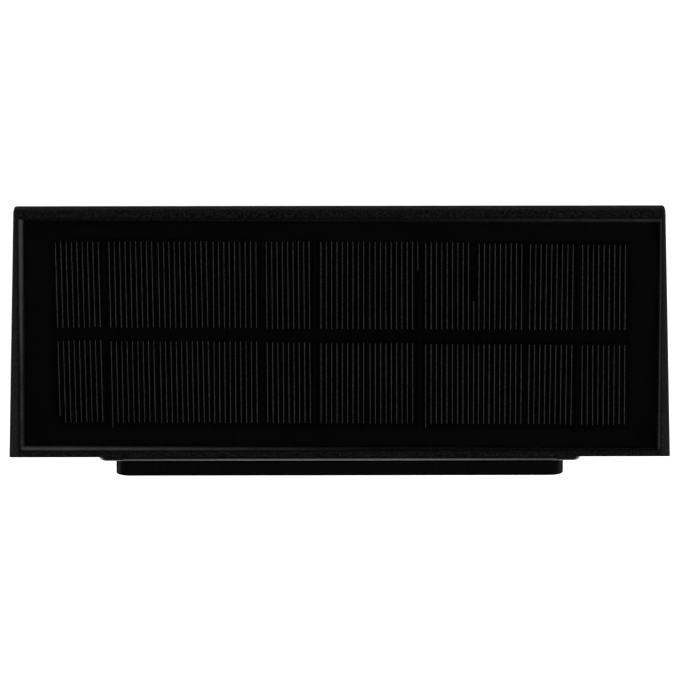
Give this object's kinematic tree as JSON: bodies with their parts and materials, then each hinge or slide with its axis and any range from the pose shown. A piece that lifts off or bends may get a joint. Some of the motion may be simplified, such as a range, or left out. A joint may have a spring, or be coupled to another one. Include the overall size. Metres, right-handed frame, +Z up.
{
  "type": "fence light",
  "caption": "Solar fence light: wedge-shaped housing with a sunk solar panel on top, a downward frosted lens, a push-button and a wall bracket it lifts off.",
  "frame": {"origin": "centre of the wall bracket's wall face", "axes": "+Y into the wall, the lamp's front faces -Y, +Z up, X along the lamp's width"},
  "size_m": [0.1852, 0.0754, 0.0574],
  "materials": {
    "textured_black_plastic": "spark-textured moulded ABS",
    "satin_black_plastic": "fine satin moulded ABS",
    "bracket_black_plastic": "smooth satin moulded ABS",
    "silicone_grey": "soft silicone",
    "screw_steel": "zinc-plated",
    "panel_sealant": "glossy black epoxy",
    "panel_board": "black solder mask",
    "panel_laminate": "clear epoxy laminate",
    "busbar_ribbon": "black-masked solder ribbon",
    "silicon_cell": "black monocrystalline silicon",
    "frosted_lens": "frosted polycarbonate",
    "white_plastic": "white ABS",
    "led_board_white": "white solder mask",
    "led_phosphor": "yellow phosphor",
    "battery_sleeve": "blue PVC sleeve",
    "cradle_black_plastic": "moulded ABS",
    "nickel": "nickel strip",
    "circuit_board": "green solder mask",
    "chip_epoxy": "moulded epoxy",
    "ferrite": "ferrite",
    "capacitor_can": "can with sleeve",
    "socket_ivory": "nylon",
    "switch_black": "nylon",
    "button_rubber": "black rubber-coated",
    "wire_red": "PVC insulation",
    "wire_black": "PVC insulation"
  },
  "bodies": {
    "bracket": {"wall_bracket": "bracket_black_plastic"},
    "lamp": {"housing": "textured_black_plastic", "back_cover": "satin_black_plastic", "hanger_left": "satin_black_plastic", "hanger_right": "satin_black_plastic", "cover_seal": "silicone_grey", "cover_screws": "screw_steel", "panel_glue": "panel_sealant", "solar_backsheet": "panel_board", "solar_laminate": "panel_laminate", "cell_busbar": "busbar_ribbon", "solar_cell_01": "silicon_cell", "solar_cell_02": "silicon_cell", "solar_cell_03": "silicon_cell", "solar_cell_04": "silicon_cell", "solar_cell_05": "silicon_cell", "solar_cell_06": "silicon_cell", "solar_cell_07": "silicon_cell", "solar_cell_08": "silicon_cell", "solar_cell_09": "silicon_cell", "solar_cell_10": "silicon_cell", "solar_cell_11": "silicon_cell", "lens_gasket": "silicone_grey", "diffuser": "frosted_lens", "reflector": "white_plastic", "reflector_screws": "screw_steel", "led_board": "led_board_white", "led_board_screws": "screw_steel", "led_1": "led_phosphor", "led_2": "led_phosphor", "led_3": "led_phosphor", "led_4": "led_phosphor", "led_5": "led_phosphor", "led_6": "led_phosphor", "led_7": "led_phosphor", "led_8": "led_phosphor", "battery_cell": "battery_sleeve", "battery_cradle": "cradle_black_plastic", "cradle_screws": "screw_steel", "battery_tab_positive": "nickel", "battery_tab_negative": "nickel", "main_board": "circuit_board", "board_screws": "screw_steel", "charge_chip": "chip_epoxy", "power_inductor": "ferrite", "storage_capacitor": "capacitor_can", "panel_connector": "socket_ivory", "battery_connector": "socket_ivory", "led_connector": "socket_ivory", "switch_body": "switch_black", "button_seal": "silicone_grey", "panel_lead_positive": "wire_red", "panel_lead_negative": "wire_black", "battery_lead_positive": "wire_red", "battery_lead_negative": "wire_black", "led_lead_positive": "wire_red", "led_lead_negative": "wire_black"},
    "button": {"power_button": "button_rubber", "switch_plunger": "switch_black"}
  },
  "joints": [
    {"name": "lamp_lift", "type": "slide", "parent": "bracket", "child": "lamp", "axis": [0, 0, 1], "range_m": [0, 0.011]},
    {"name": "power_button_press", "type": "slide", "parent": "lamp", "child": "button", "axis": [0, 0, 1], "range_m": [0, 0.0008], "stiffness_N_per_m": 600}
  ]
}
